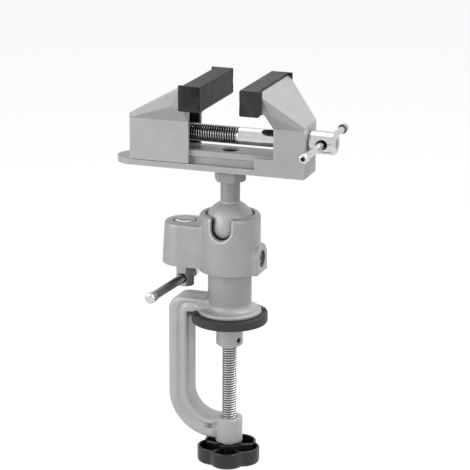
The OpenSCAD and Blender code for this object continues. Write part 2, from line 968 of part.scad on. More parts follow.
// Rail that the moving jaw runs on
module rail() {
    translate([rail_left, -web_w / 2, plate_top - eps])
        cube([fixed_in - rail_left + eps, web_w, rail_h - rail_flange + 2 * eps]);
    translate([rail_left, -rail_w / 2, rail_top - rail_flange])
        cube([fixed_in - rail_left + eps, rail_w, rail_flange]);
}

// Jaw head: flares from the block's shoulder at x_out to the pad, and ends in a nose inside it.
// dir is +1 for a jaw on the +X side of its gripping face x_face, and -1 on the other side.
module jaw_head(x_out, x_in, x_face, rear, flat, dir) {
    x_ear = x_face + dir * (pad_t + pad_ears);
    x_flat = x_face + dir * (pad_t + flat);
    x_pad = x_face + dir * pad_t;
    x_nose = x_face + dir * pad_face;
    intersection() {
        across(pad_w)
            polygon([[x_out, shoulder_z - eps], [x_out, shoulder_z + rear], [x_flat, nose_top], [x_pad, nose_top],
                [x_pad, flare_z], [x_ear, flare_z], [x_in, shoulder_z - eps]]);
        translate([0, 0, shoulder_z - over])
            linear_extrude(pad_top - shoulder_z)
                polygon([[x_out, -half_w], [x_ear, -nose_half], [x_pad, -nose_half], [x_pad, nose_half],
                    [x_ear, nose_half], [x_out, half_w]]);
        translate([min(x_out, x_pad) - over, 0, 0])
            rotate([90, 0, 90])
                linear_extrude(abs(x_out - x_pad) + 2 * over)
                    polygon([[-half_w, shoulder_z - over], [-half_w, shoulder_z], [-knee_half, flare_z],
                        [-nose_half, flare_z + flare_rise], [-nose_half, pad_top], [nose_half, pad_top],
                        [nose_half, flare_z + flare_rise], [knee_half, flare_z], [half_w, shoulder_z],
                        [half_w, shoulder_z - over]]);
    }
    translate([min(x_nose, x_pad + dir * eps), -nose_half, nose_z])
        cube([abs(x_pad - x_nose) + eps, 2 * nose_half, nose_top - nose_z]);
}

// Jaw pad: a cap over the jaw's nose, with end walls that reach back past the top, one of them cut at its foot
module jaw_pad(x_face, dir) {
    ear_x = pad_t + pad_ears;
    translate([x_face, 0, 0])
        mirror([dir < 0 ? 1 : 0, 0, 0])
            difference() {
                union() {
                    translate([0, -pad_w / 2, pad_z])
                        cube([pad_t, pad_w, pad_h]);
                    for (s = [-1, 1])
                        translate([0, s * (pad_w - pad_wall) / 2, 0])
                            across(pad_wall)
                                ear_outline(ear_x, s * dir < 0 ? 2.8 : 0.6);
                }
                translate([pad_face, -nose_half, nose_z])
                    cube([pad_t, 2 * nose_half, nose_top - nose_z]);
            }
}

// Side outline of a pad's end wall, its lower rear corner cut off by cut
module ear_outline(ear_x, cut) {
    polygon([[0, pad_z], [ear_x - cut, pad_z], [ear_x, pad_z + cut], [ear_x, pad_top], [0, pad_top]]);
}

// Pad on the fixed jaw
module fixed_jaw_pad() {
    color("dimgray")
        jaw_pad(fixed_x, 1);
}

// Pad on the moving jaw
module moving_jaw_pad() {
    color("dimgray")
        jaw_pad(moving_x, -1);
}

// Moving jaw: block with the T-slot for the rail, hollow, bore for nut and screw, and the flared head
module moving_jaw() {
    slot_w = rail_w + 2 * slide;
    neck_w = web_w + 2 * slide;
    color("silver")
        difference() {
            union() {
                translate([moving_out, -half_w, moving_z])
                    cube([moving_l, body_w, shoulder_z - moving_z]);
                jaw_head(moving_out, moving_in, moving_x, moving_rear, moving_flat, -1);
            }
            translate([moving_out - over, -neck_w / 2, moving_z - over])
                cube([moving_l + 2 * over, neck_w, rail_top - moving_z]);
            translate([moving_out - over, -slot_w / 2, rail_top - rail_flange - slide])
                cube([moving_l + 2 * over, slot_w, rail_flange + 2 * slide]);
            translate([nut_x, -half_w + hollow_wall, rail_top - over])
                cube([hollow_l + moving_set, body_w - 2 * hollow_wall, hollow_top - rail_top + over]);
            translate([0, 0, lead_z]) {
                rod_x(moving_out - over, moving_in + over, lead_r + 0.5);
                rod_x(nut_x - nut_l, nut_x + over, nut_d / 2);
            }
        }
}

// Threaded nut in the moving jaw
module jaw_nut() {
    color("goldenrod")
        translate([0, 0, lead_z])
            difference() {
                rod_x(nut_x - nut_l, nut_x, nut_d / 2);
                rod_x(nut_x - nut_l - over, nut_x + over, lead_r + run);
            }
}

// Cap screw that holds the vise on the stud
module mounting_screw() {
    head_r = mount_d * 0.8;
    socket_af = mount_d * 0.75;
    color("dimgray")
        difference() {
            union() {
                translate([0, 0, mount_tip])
                    cylinder(h = mount_seat - mount_tip + eps, r = mount_r);
                translate([0, 0, mount_seat])
                    cylinder(h = mount_head_h, r = head_r);
            }
            translate([0, 0, mount_seat + mount_head_h - mount_socket])
                cylinder(h = mount_socket + over, r = socket_af / 2 * hex_over_flats, $fn = 6);
        }
}

// Washer between the fixed jaw's block and the lead screw's head
module thrust_washer() {
    color("dimgray")
        translate([0, 0, lead_z])
            difference() {
                rod_x(fixed_out, fixed_out + washer_t, lead_head_r - 0.8);
                rod_x(fixed_out - over, fixed_out + washer_t + over, lead_r + run);
            }
}

// Pin in the fixed jaw's block that keeps the lead screw from moving endways
module screw_keeper_pin() {
    color("gray")
        translate([keeper_x, keeper_y, plate_z])
            cylinder(h = keeper_top - plate_z, r = keeper_r);
}

// Lead screw: threaded part, plain shank with the keeper's groove, and a round head with a cross hole
module lead_screw() {
    chamfer = 1.6;
    sink = 2;
    color("gainsboro")
        difference() {
            union() {
                translate([0, 0, lead_z]) {
                    rod_x(lead_tip, lead_head_x + eps, lead_r);
                    rod_x_chamfered(lead_head_x, lead_end, lead_head_r, chamfer);
                }
            }
            translate([keeper_x, 0, lead_z])
                rotate([0, 90, 0])
                    rotate_extrude()
                        translate([groove_r, -keeper_r - slide])
                            square([lead_r - groove_r + over, 2 * keeper_r + 2 * slide]);
            translate([tommy_x, 0, lead_z]) {
                rod_y(-lead_head_d, lead_head_d, tommy_r + bar_play);
                for (s = [0, 1])
                    mirror([0, s, 0])
                        translate([0, lead_head_r - sink, 0])
                            rotate([-90, 0, 0])
                                cylinder(h = sink + over, r1 = tommy_r + bar_play,
                                    r2 = tommy_r + bar_play + sink + over);
            }
        }
}

// Sliding bar that turns the lead screw
module tommy_bar() {
    color("gainsboro")
        translate([tommy_x, 0, lead_z]) {
            rod_y(-tommy_l / 2 + tommy_cap_l, tommy_l / 2 - tommy_cap_l, tommy_r);
            rod_y(-tommy_l / 2 + tommy_cap_l * 0.4, tommy_l / 2 - tommy_cap_l * 0.4, tommy_r - 0.8);
        }
}

// Caps at both ends of the tommy bar
module tommy_bar_caps() {
    color("gainsboro")
        translate([tommy_x, 0, lead_z])
            bar_caps(-tommy_l / 2, tommy_l / 2, tommy_cap_d / 2, tommy_cap_l, tommy_r - 0.8);
}

clamp_frame();
clamp_ring();
pressure_foot();
foot_set_screw();
clamp_screw();
clamp_knob();
socket_housing();
swivel_bush();
ball_seat();
retaining_screw();
lock_wedge();
brake_pin();
lock_bolt();
lock_bar();
lock_bar_caps();
ball_stud();
vise_base();
fixed_jaw_pad();
mounting_screw();
thrust_washer();
screw_keeper_pin();
moving_jaw();
moving_jaw_pad();
jaw_nut();
lead_screw();
tommy_bar();
tommy_bar_caps();
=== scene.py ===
"""Looks of a clamp-on table vise: castings, screws, jaw pads, knob, materials, light and camera."""

from math import cos, radians, sin, tau

import bmesh
import bpy
import numpy as np
from mathutils import Matrix, Vector


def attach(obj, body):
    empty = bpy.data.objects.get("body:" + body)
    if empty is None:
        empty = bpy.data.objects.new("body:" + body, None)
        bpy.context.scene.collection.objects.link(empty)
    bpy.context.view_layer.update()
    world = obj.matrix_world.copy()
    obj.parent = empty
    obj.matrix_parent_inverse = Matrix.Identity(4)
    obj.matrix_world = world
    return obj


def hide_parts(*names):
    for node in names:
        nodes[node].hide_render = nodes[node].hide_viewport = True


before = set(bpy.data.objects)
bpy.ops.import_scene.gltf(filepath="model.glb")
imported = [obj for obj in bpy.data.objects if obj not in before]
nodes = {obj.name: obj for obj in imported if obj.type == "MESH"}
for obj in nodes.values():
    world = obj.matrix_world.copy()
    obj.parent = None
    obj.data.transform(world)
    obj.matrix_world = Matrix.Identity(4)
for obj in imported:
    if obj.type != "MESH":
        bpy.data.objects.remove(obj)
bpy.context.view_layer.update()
scene = bpy.context.scene
MM = 0.001

# Places in the CAD solids that pieces and masks share, in millimetres

BALL = (0, 0, 80.8)
LEAD_Z = 152.7
LEAD_AXIS = (0, 0, LEAD_Z)
TOMMY_X = 76.6
LOCK_X = -38.0
LOCK_AXIS = (LOCK_X, 0, 0)
MIDDLE = (0, 0, 0)

# Which axes count in a distance

FROM_POINT = (1, 1, 1)
FROM_LINE_X = (0, 1, 1)
FROM_LINE_Y = (1, 0, 1)
FROM_LINE_Z = (1, 1, 0)
FROM_PLANE_X = (1, 0, 0)


# Meshes

def grid_faces(rows, cols, wrap=True):
    """Quads of a rows by cols grid of points. With wrap, the last column joins the first."""
    i, j = np.meshgrid(np.arange(rows - 1), np.arange(cols if wrap else cols - 1), indexing="ij")
    k = (j + 1) % cols
    quads = np.stack([i * cols + j, i * cols + k, (i + 1) * cols + k, (i + 1) * cols + j], -1)
    return quads.reshape(-1, 4)


def new_piece(name, mesh):
    """An object at the origin that shows a mesh."""
    piece = bpy.data.objects.new(name, mesh)
    scene.collection.objects.link(piece)
    return piece


def mesh_object(name, points, faces, sharp=35):
    """A smooth-shaded object from points in millimetres, sharp where faces meet at more than the angle."""
    mesh = bpy.data.meshes.new(name)
    mesh.from_pydata((np.asarray(points) * MM).tolist(), [], faces)
    mesh.validate()
    mesh.shade_smooth()
    mesh.set_sharp_from_angle(angle=radians(sharp))
    return new_piece(name, mesh)


def tube(rings):
    """Closed skin over an array of rings (rows, cols, 3): quads between the rings, and a fan to each
    end ring's centre. Rings run upwards and turn anticlockwise seen from above, so faces point out."""
    rows, cols, _ = rings.shape
    points = np.concatenate([rings.reshape(-1, 3), rings[0].mean(0)[None], rings[-1].mean(0)[None]])
    j = np.arange(cols)
    k = (j + 1) % cols
    low, high = rows * cols, rows * cols + 1
    top = (rows - 1) * cols
    fans = np.concatenate([np.stack([np.full(cols, low), k, j], -1),
                           np.stack([np.full(cols, high), top + j, top + k], -1)])
    return points, grid_faces(rows, cols).tolist() + fans.tolist()


def joined(*parts):
    """Several (points, faces) pairs as one."""
    points, faces, start = [], [], 0
    for p, f in parts:
        points.append(p)
        faces += [[i + start for i in face] for face in f]
        start += len(p)
    return np.concatenate(points), faces


def round_rings(r, a, z):
    """Rings about Z: radius r (rows, cols) at the angles a, at the heights z (rows, 1)."""
    return np.stack([r * np.cos(a), r * np.sin(a), z + 0 * a], -1)


def turned(profile, sides):
    """Skin turned about Z: each profile point (radius, height) becomes a ring of that radius."""
    profile = np.asarray(profile, float)
    a = np.arange(sides) / sides * tau
    return tube(round_rings(profile[:, :1], a, profile[:, 1:]))


def rounded_path(corners, radii, steps=5):
    """Points of a line through the corners, each corner replaced by a quadratic curve whose ends lie
    its radius away along both sides."""
    corners = np.asarray(corners, float)
    out = [corners[:1]]
    t = np.linspace(0, 1, steps + 1)[:, None]
    for before, here, after, r in zip(corners[:-2], corners[1:-1], corners[2:], radii):
        if r <= 0:
            out.append(here[None])
            continue
        a = here + (before - here) / np.linalg.norm(before - here) * r
        b = here + (after - here) / np.linalg.norm(after - here) * r
        out.append((1 - t) ** 2 * a + 2 * t * (1 - t) * here + t ** 2 * b)
    out.append(corners[-1:])
    return np.concatenate(out)


def thread_skin(s, base, cut, pitch, depth, sides):
    """Skin of a screw along Z: base is the radius at each s, and cut (0 to 1) how deep the right-hand thread goes.
    The thread is a wave of the fraction of s / pitch - turn, with flat crests and roots and straight flanks."""
    crest_share, flank_share = 0.22, 0.5
    turn = np.arange(sides) / sides
    wave = np.abs(2 * ((s[:, None] / pitch - turn[None, :]) % 1.0) - 1)
    groove = depth * np.clip((wave - crest_share) / flank_share, 0, 1)
    return tube(round_rings(base[:, None] - groove * cut[:, None], turn * tau, s[:, None]))


def along_x(points, z):
    """Turns a skin made about Z so that its axis lies along X at height z."""
    return np.stack([points[:, 2], points[:, 0], points[:, 1] + z], -1)


def swept(profile, stations):
    """Closed skin of a flat profile (n, 2) carried along stations: each is (origin, first axis, second axis)."""
    rings = [np.asarray(o)[None] + profile[:, :1] * np.asarray(u)[None] + profile[:, 1:] * np.asarray(v)[None]
             for o, u, v in stations]
    return tube(np.stack(rings))


# Copies of CAD castings

def merged_copy(node):
    """Edit mesh of a CAD node with its loose triangles joined."""
    bm = bmesh.new()
    bm.from_mesh(nodes[node].data)
    bmesh.ops.remove_doubles(bm, verts=bm.verts, dist=2e-6)
    return bm


def flat_copy(node):
    """Edit mesh of a CAD node with its triangles joined into flat faces."""
    bm = merged_copy(node)
    bmesh.ops.dissolve_limit(bm, angle_limit=radians(0.4), verts=bm.verts, edges=bm.edges)
    return bm


def plain_mesh(bm, name):
    """Writes an edit mesh out as a mesh with no leftover layers of the CAD node."""
    mesh = bpy.data.meshes.new(name)
    bm.to_mesh(mesh)
    bm.free()
    for layer in ("custom_normal", "sharp_face", "sharp_edge"):
        if layer in mesh.attributes:
            mesh.attributes.remove(mesh.attributes[layer])
    mesh.materials.clear()
    return mesh


def point_array(mesh):
    """Places of a mesh's points, as an array (n, 3)."""
    co = np.zeros(len(mesh.vertices) * 3)
    mesh.vertices.foreach_get("co", co)
    return co.reshape(-1, 3)


def weigh_normals(mesh):
    """Each point's normal is the mean of its faces' normals, weighed by area, so large flat faces stay
    flat and the narrow faces along their edges take up the turn."""
    co = point_array(mesh)
    mesh.calc_loop_triangles()
    tri = np.zeros(len(mesh.loop_triangles) * 3, np.int32)
    mesh.loop_triangles.foreach_get("vertices", tri)
    tri = tri.reshape(-1, 3)
    area = np.cross(co[tri[:, 1]] - co[tri[:, 0]], co[tri[:, 2]] - co[tri[:, 0]])
    total = np.zeros((len(co), 3))
    for c in range(3):
        np.add.at(total, tri[:, c], area)
    total /= np.maximum(np.linalg.norm(total, axis=1, keepdims=True), 1e-20)
    mesh.shade_smooth()
    mesh.normals_split_custom_set_from_vertices(total.tolist())


def sharp_edges(bm, angle):
    """Edges whose two faces meet at more than the angle."""
    return [e for e in bm.edges if len(e.link_faces) == 2 and e.calc_face_angle(0.0) > radians(angle)]


def rounded_piece(name, bm, edges, width):
    """A piece from an edit mesh, with the given edges rounded by width."""
    bmesh.ops.bevel(bm, geom=edges, offset=width * MM, offset_type="OFFSET", segments=3, profile=0.5,
                    affect="EDGES", clamp_overlap=True)
    mesh = plain_mesh(bm, name)
    weigh_normals(mesh)
    return new_piece(name, mesh)


def edged_casting(name, node, width):
    """Copy of a flat-faced CAD casting whose edges are rounded by width."""
    bm = flat_copy(node)
    return rounded_piece(name, bm, sharp_edges(bm, 32), width)


def frame_groove(co):
    """Groove in the frame's front and back beside its inner edge. With d the distance of a point from the throat,
    whose lower corner is an arc, the bar's half width is less by a raised cosine about the groove's middle line.
    The groove ends in a deeper pocket at the boss. The boss, flange and post stay as they are, but the boss's
    bore is 4 % wider, to clear the thread."""
    arc_x, arc_z, arc_r = -11.0, -60.7, 21.0
    spine_x, arm_z, arm_top = -32.0, 7.6, 21.0
    bar_half, groove_at, groove_half, groove_depth = 11.5, 6.6, 2.6, 1.7
    pocket_top, pocket_x, pocket_run, pocket_depth = -70.0, -20.0, 5.0, 2.6
    boss_r, flange_r = 11.3, 26.5
    boss_top, bore_r, wider = -78.0, 7.0, 1.04
    x, y, z = co[:, 0], co[:, 1], co[:, 2]
    corner = np.hypot(np.maximum(arc_x - x, 0), np.minimum(z - arc_z, 0)) - arc_r
    upper = np.hypot(np.maximum(spine_x - x, 0), np.maximum(z - arm_z, 0))
    d = np.where(z < arc_z, corner, upper)
    pocket = np.where(z < pocket_top, np.clip((x - pocket_x) / pocket_run, 0, 1), 0)
    off = np.clip((d - groove_at) / groove_half, -1, 1)
    half = bar_half - (groove_depth + pocket_depth * pocket) * (0.5 + 0.5 * np.cos(np.pi * off)) ** 0.7
    from_axis = np.hypot(x, y)
    bar = np.where(z < 0, from_axis > boss_r, from_axis > flange_r) & (z < arm_top)
    y = np.where(bar, np.clip(y, -half, half), y)
    wide = np.where((z < boss_top) & (from_axis < bore_r), wider, 1.0)
    return np.stack([x * wide, y * wide, z], -1)


def softened_casting(name, node, voxel, rounds, relief=None):
    """Copy of a curved CAD casting as an even skin of small quads, with relief pressed into it by a function of its
    points in millimetres. Each point is then moved rounds times half way to the mean of its neighbours, so that
    edges round off and corners between bosses fill as in a mould."""
    rough = new_piece(name + "_rough", plain_mesh(merged_copy(node), name + "_rough"))
    remesh = rough.modifiers.new("even", "REMESH")
    remesh.mode = "VOXEL"
    remesh.voxel_size = voxel * MM
    mesh = bpy.data.meshes.new_from_object(rough.evaluated_get(bpy.context.evaluated_depsgraph_get()))
    bpy.data.objects.remove(rough)
    mesh.name = name
    co = point_array(mesh)
    count = len(co)
    edge = np.zeros(len(mesh.edges) * 2, np.int32)
    mesh.edges.foreach_get("vertices", edge)
    edge = edge.reshape(-1, 2)
    degree = np.bincount(edge.ravel(), minlength=count)[:, None]
    if relief:
        co = relief(co / MM) * MM
    for _ in range(rounds):
        total = np.stack([np.bincount(edge[:, 0], co[edge[:, 1], c], count)
                          + np.bincount(edge[:, 1], co[edge[:, 0], c], count) for c in range(3)], -1)
        co += 0.5 * (total / degree - co)
    mesh.vertices.foreach_set("co", co.ravel())
    mesh.update()
    mesh.shade_smooth()
    return new_piece(name, mesh)


# Shader nodes

def add(tree, kind, inputs=None, **settings):
    """Adds a node, sets its properties, and sets or links its inputs by name or number."""
    n = tree.nodes.new(kind)
    for key, value in settings.items():
        setattr(n, key, value)
    for key, value in (inputs or {}).items():
        if isinstance(value, bpy.types.NodeSocket):
            tree.links.new(value, n.inputs[key])
        else:
            n.inputs[key].default_value = value
    return n


def math_node(tree, operation, a, b=0.0, clamp=False):
    """Output of a Math node."""
    return add(tree, "ShaderNodeMath", {0: a, 1: b}, operation=operation, use_clamp=clamp).outputs[0]


def product(tree, first, *others):
    """Product of several values."""
    for value in others:
        first = math_node(tree, "MULTIPLY", first, value)
    return first


def spread(tree, value, low, high, to_low=0.0, to_high=1.0):
    """Value rescaled from low-high to to_low-to_high, clamped."""
    return add(tree, "ShaderNodeMapRange", {0: value, 1: low, 2: high, 3: to_low, 4: to_high}).outputs[0]


def blend(tree, factor, a, b):
    """Colour a mixed with colour b."""
    n = add(tree, "ShaderNodeMix", {"Factor": factor}, data_type="RGBA")
    for key, value in ((6, a), (7, b)):
        if isinstance(value, bpy.types.NodeSocket):
            tree.links.new(value, n.inputs[key])
        else:
            n.inputs[key].default_value = (*value, 1.0)
    return n.outputs[2]


def blend_value(tree, factor, a, b):
    """Value a mixed with value b."""
    return add(tree, "ShaderNodeMix", {0: factor, 2: a, 3: b}, data_type="FLOAT").outputs[0]


def noise(tree, vector, scale, detail=2.0, rough=0.5):
    """Value of a noise texture at a vector."""
    return add(tree, "ShaderNodeTexNoise",
               {"Vector": vector, "Scale": scale, "Detail": detail, "Roughness": rough}).outputs["Fac"]


def place(tree):
    """Object coordinates in metres."""
    return add(tree, "ShaderNodeTexCoord").outputs["Object"]


def place_axes(tree):
    """X, Y and Z of the object coordinates in metres."""
    return add(tree, "ShaderNodeSeparateXYZ", {0: place(tree)}).outputs


def distance(tree, centre, axes):
    """Distance in metres from a point in millimetres. The axes vector is 1 on each axis that counts, so with two
    axes the distance is from a line along the third."""
    start = tuple(c * MM for c in centre)
    off = add(tree, "ShaderNodeVectorMath", {0: place(tree), 1: start}, operation="SUBTRACT").outputs[0]
    flat = add(tree, "ShaderNodeVectorMath", {0: off, 1: axes}, operation="MULTIPLY").outputs[0]
    return add(tree, "ShaderNodeVectorMath", {0: flat}, operation="LENGTH").outputs["Value"]


def reach(tree, centre, axes, near, far):
    """1 up to the near distance from a point or line, falling to 0 at the far one, in millimetres."""
    return spread(tree, distance(tree, centre, axes), far * MM, near * MM)


def box_mask(tree, low, high, soft=0.8):
    """1 inside a box in millimetres, falling to 0 over the soft distance outside it."""
    walls = []
    for axis, a, b in zip(place_axes(tree), low, high):
        walls.append(spread(tree, axis, (a - soft) * MM, a * MM))
        walls.append(spread(tree, axis, (b + soft) * MM, b * MM))
    return product(tree, *walls)


def new_group(name, inputs, outputs):
    """An empty node group with named sockets. Inputs are (name, kind, value)."""
    g = bpy.data.node_groups.new(name, "ShaderNodeTree")
    for label, kind, value in inputs:
        s = g.interface.new_socket(label, in_out="INPUT", socket_type=kind)
        s.default_value = value
    for label, kind in outputs:
        g.interface.new_socket(label, in_out="OUTPUT", socket_type=kind)
    return g, g.nodes.new("NodeGroupInput").outputs, g.nodes.new("NodeGroupOutput").inputs


# Node groups that materials share

def make_cast_skin():
    """Fine blasted grain over slow cloudy patches: a mask from 0 to 1, and a height for the bump."""
    g, i, o = new_group("cast_skin", [("Grain", "NodeSocketFloat", 1500.0), ("Cloud", "NodeSocketFloat", 60.0)],
                        [("Mask", "NodeSocketFloat"), ("Height", "NodeSocketFloat")])
    p = place(g)
    fine = noise(g, p, i["Grain"], 3.0, 0.6)
    cloud = noise(g, p, i["Cloud"], 3.0, 0.55)
    mixed = math_node(g, "ADD", product(g, fine, 0.45), product(g, cloud, 0.55))
    g.links.new(spread(g, mixed, 0.34, 0.66), o["Mask"])
    g.links.new(fine, o["Height"])
    return g


def make_edge_wear():
    """Mask of rubbed edges: how far the normal turns within the radius, broken up by noise."""
    g, i, o = new_group("edge_wear",
                        [("Radius", "NodeSocketFloat", 0.0012), ("Breakup", "NodeSocketFloat", 300.0)],
                        [("Mask", "NodeSocketFloat")])
    rounded = add(g, "ShaderNodeBevel", {"Radius": i["Radius"]}, samples=4).outputs[0]
    flat = add(g, "ShaderNodeNewGeometry").outputs["Normal"]
    dot = add(g, "ShaderNodeVectorMath", {0: rounded, 1: flat}, operation="DOT_PRODUCT").outputs["Value"]
    turn = spread(g, dot, 0.995, 0.93)
    chips = spread(g, noise(g, place(g), i["Breakup"], 3.0, 0.6), 0.38, 0.62)
    g.links.new(product(g, turn, chips), o["Mask"])
    return g


def make_drawn_lines():
    """Fine lines from turning or drawing: noise on coordinates stretched by the vector."""
    g, i, o = new_group("drawn_lines", [("Stretch", "NodeSocketVector", (4000.0, 60.0, 60.0))],
                        [("Mask", "NodeSocketFloat")])
    p = add(g, "ShaderNodeVectorMath", {0: place(g), 1: i["Stretch"]}, operation="MULTIPLY").outputs[0]
    g.links.new(spread(g, noise(g, p, 1.0), 0.3, 0.7), o["Mask"])
    return g


def make_moulded_skin():
    """Moulded plastic or rubber: small pits and slow dusty patches."""
    g, i, o = new_group("moulded_skin", [("Pits", "NodeSocketFloat", 1800.0), ("Dust", "NodeSocketFloat", 90.0)],
                        [("Pit", "NodeSocketFloat"), ("Dust", "NodeSocketFloat")])
    p = place(g)
    g.links.new(noise(g, p, i["Pits"], 2.0, 0.6), o["Pit"])
    g.links.new(spread(g, noise(g, p, i["Dust"], 4.0, 0.6), 0.4, 0.68), o["Dust"])
    return g


CAST_SKIN = make_cast_skin()
EDGE_WEAR = make_edge_wear()
DRAWN_LINES = make_drawn_lines()
MOULDED_SKIN = make_moulded_skin()


def use(tree, group, **values):
    """Places a node group in a material with its own values."""
    n = add(tree, "ShaderNodeGroup", node_tree=group)
    for key, value in values.items():
        n.inputs[key].default_value = value
    return n.outputs


# Marks on the castings: painted shade in hollows, gaps and under other parts, and painted highlights

# Near black, for painted shade in hollows and gaps and for painted dark reflections
PAINTED_SHADE = (0.022, 0.022, 0.021)
# Pale, for painted highlights on edges and tops
PAINTED_HIGHLIGHT = (0.74, 0.74, 0.73)
RUBBED = (0.66, 0.66, 0.65)


def socket_shade(tree):
    """Painted shade on the socket's inner wall and in the lock boss's recess."""
    socket = reach(tree, BALL, FROM_POINT, 21.0, 22.2)
    recess = product(tree, reach(tree, LOCK_AXIS, FROM_LINE_Z, 9.7, 10.1),
                     box_mask(tree, (-50, -12, 60), (-26, 12, 80.0), 0.4))
    return math_node(tree, "MAXIMUM", socket, recess)


def side_recess_shade(tree):
    """Painted shade on the wall of the screw's recess in the side boss."""
    return product(tree, reach(tree, (0, 0, 54.5), FROM_LINE_X, 6.8, 7.1),
                   box_mask(tree, (20, -8, 46), (40, 8, 63), 0.4))


def notch_reach(tree, near, far, lower_part):
    """1 near the middle line of the housing's notch, round its bottom in the lower part and beside it above."""
    below = reach(tree, BALL, FROM_LINE_Y, near, far)
    beside = reach(tree, BALL, FROM_PLANE_X, near, far)
    return blend_value(tree, lower_part, beside, below)


def notch_shade(tree):
    """Painted shade on the ball along the edge of the housing's notch: rising from 6.2 to 8.4 off the notch's
    middle line.
    """
    open_part = notch_reach(tree, 6.2, 8.4, box_mask(tree, (-20, -20, 60), (20, -9, BALL[2]), 0.4))
    return product(tree, math_node(tree, "SUBTRACT", 1.0, open_part),
                   box_mask(tree, (-20, -20, 60), (20, -9, 86.0), 3.0))


def notch_bevel_highlight(tree):
    """The milled bevel of the notch, pale fresh metal and a painted highlight: a band round the notch, in the outer
    wall only.
    """
    inner, outer = [notch_reach(tree, near, near + 0.5, box_mask(tree, (-20, -30, 60), (20, 0, BALL[2]), 0.1))
                    for near in (8.9, 9.9)]
    band = math_node(tree, "SUBTRACT", outer, inner, True)
    return product(tree, band, box_mask(tree, (-20, -30, 60), (20, -21.6, 90.5), 0.4))


def painted_ball_sheen(tree):
    """The ball painted paler than its neck, a painted sheen."""
    return reach(tree, BALL, FROM_POINT, 19.9, 20.6)


def screw_hole_shade(tree):
    """Painted shade in the counterbore of the mounting screw in the base."""
    return product(tree, reach(tree, MIDDLE, FROM_LINE_Z, 6.9, 7.1),
                   box_mask(tree, (-8, -8, 100), (8, 8, 139.0), 0.4))


def post_shade(tree):
    """Painted shade on the turned post above the flange's root, under the head and the vise."""
    return product(tree, reach(tree, MIDDLE, FROM_LINE_Z, 17.8, 18.3),
                   box_mask(tree, (-20, -20, 17), (20, 20, 80), 2.0))


def arm_top_light(tree):
    """Painted light on the top of the frame's arm, paler along its front half."""
    return box_mask(tree, (-45, -9, 18.6), (-20, -1, 21), 2.5)


def spine_and_pocket_shade(tree):
    """A streak of painted shade down the spine's inner edge, fading below the ring, and painted shade in the
    groove's pocket.
    """
    fade = spread(tree, place_axes(tree)[2], -58.0 * MM, -6.0 * MM, 0.0, 0.36)
    streak = product(tree, box_mask(tree, (-33.0, -9.3, -60.0), (-31.0, -7.9, 5.0), 1.2), fade)
    pocket = product(tree, reach(tree, (-13.5, -9.0, -88.0), (1, 0.6, 1), 1.0, 3.0), 0.6)
    return math_node(tree, "MAXIMUM", streak, pocket)


def jaw_hollow_shade(tree):
    """Painted shade in the hollow in the moving jaw round the lead screw."""
    return box_mask(tree, (-42.4, -13.1, 139.0), (-31.2, 13.1, 176.4))


# Marks on the steel pieces: painted shade in gaps, painted dark reflections and painted highlights

def head_shade_and_reflection(tree):
    """Painted shade round the bar's hole in the lead screw's head, and a painted dark reflection in the middle of
    the head's end face.
    """
    hole = reach(tree, (TOMMY_X, 0, LEAD_Z), FROM_LINE_Y, 3.4, 4.3)
    end = box_mask(tree, (86.3, -12, 140), (88, 12, 165), 0.1)
    middle = product(tree, reach(tree, LEAD_AXIS, FROM_LINE_X, 3.0, 5.5), 0.75)
    return math_node(tree, "MAXIMUM", hole, product(tree, end, middle))


def tommy_cap_shade_and_reflection(tree):
    """Painted shade on the tommy bar's caps where each cap meets the bar, and a painted dark reflection in the
    end's centre.
    """
    inner, outer = 48.5, 56.0
    along = math_node(tree, "ABSOLUTE", place_axes(tree)[1])
    collar = spread(tree, along, (inner + 1.0) * MM, (inner + 0.4) * MM)
    end = spread(tree, along, (outer - 0.5) * MM, (outer - 0.3) * MM)
    centre = reach(tree, (TOMMY_X, 0, LEAD_Z), FROM_LINE_Y, 1.5, 2.1)
    return math_node(tree, "MAXIMUM", product(tree, collar, 0.7), product(tree, end, centre))


def lock_cap_highlight(tree):
    """Painted highlight on the front of the lock cap's rounded edge."""
    ring = math_node(tree, "SUBTRACT", reach(tree, LOCK_AXIS, FROM_LINE_Z, 8.1, 8.4),
                     reach(tree, LOCK_AXIS, FROM_LINE_Z, 5.6, 6.6), True)
    return product(tree, ring, box_mask(tree, (-43, -20, 70), (-33, -4, 90), 2.5))


def lock_cap_gap_shade(tree):
    """Painted shade along the lock cap's edge, on its outer side."""
    rim = math_node(tree, "SUBTRACT", 1.0, reach(tree, LOCK_AXIS, FROM_LINE_Z, 8.3, 8.7))
    return product(tree, rim, box_mask(tree, (-60, -20, 70), (-20, 2, 90), 2.0))


def lock_hole_shade(tree):
    """Painted shade round the bar's hole in the front flat of the lock bolt."""
    return product(tree, reach(tree, (-38.6, 0, 33.0), FROM_LINE_Y, 4.1, 4.7),
                   box_mask(tree, (-50, -10, 20), (-26, -3, 40), 0.4))


def lock_bar_shade(tree):
    """Painted shade on the lock bar beside the bolt, thinning out towards the front cap."""
    return spread(tree, place_axes(tree)[1], -46.0 * MM, -14.0 * MM)


# Materials. Lengths ending in _mm are in millimetres, and relief is in metres.

def new_material(name, **sockets):
    """A material with a Principled BSDF whose constant sockets are set directly."""
    m = bpy.data.materials.new(name)
    m.use_nodes = True
    shader = m.node_tree.nodes["Principled BSDF"]
    for key, value in sockets.items():
        shader.inputs[key.replace("_", " ")].default_value = value
    return m, m.node_tree, shader


def bump(tree, shader, height, strength, relief, round_mm=0.0):
    """Links a height to the shader's normal through a Bump node, over rounded edges where their radius is given."""
    inputs = {"Height": height, "Strength": strength, "Distance": relief}
    if round_mm:
        inputs["Normal"] = add(tree, "ShaderNodeBevel", {"Radius": round_mm * MM}, samples=6).outputs[0]
    n = add(tree, "ShaderNodeBump", inputs)
    tree.links.new(n.outputs[0], shader.inputs["Normal"])


def marked(tree, tone, marks):
    """A colour with marks on it. Each is a function that makes a mask, the colour it brings and how strongly."""
    for mask, colour, strength in marks:
        tone = blend(tree, product(tree, mask(tree), strength), tone, colour)
    return tone


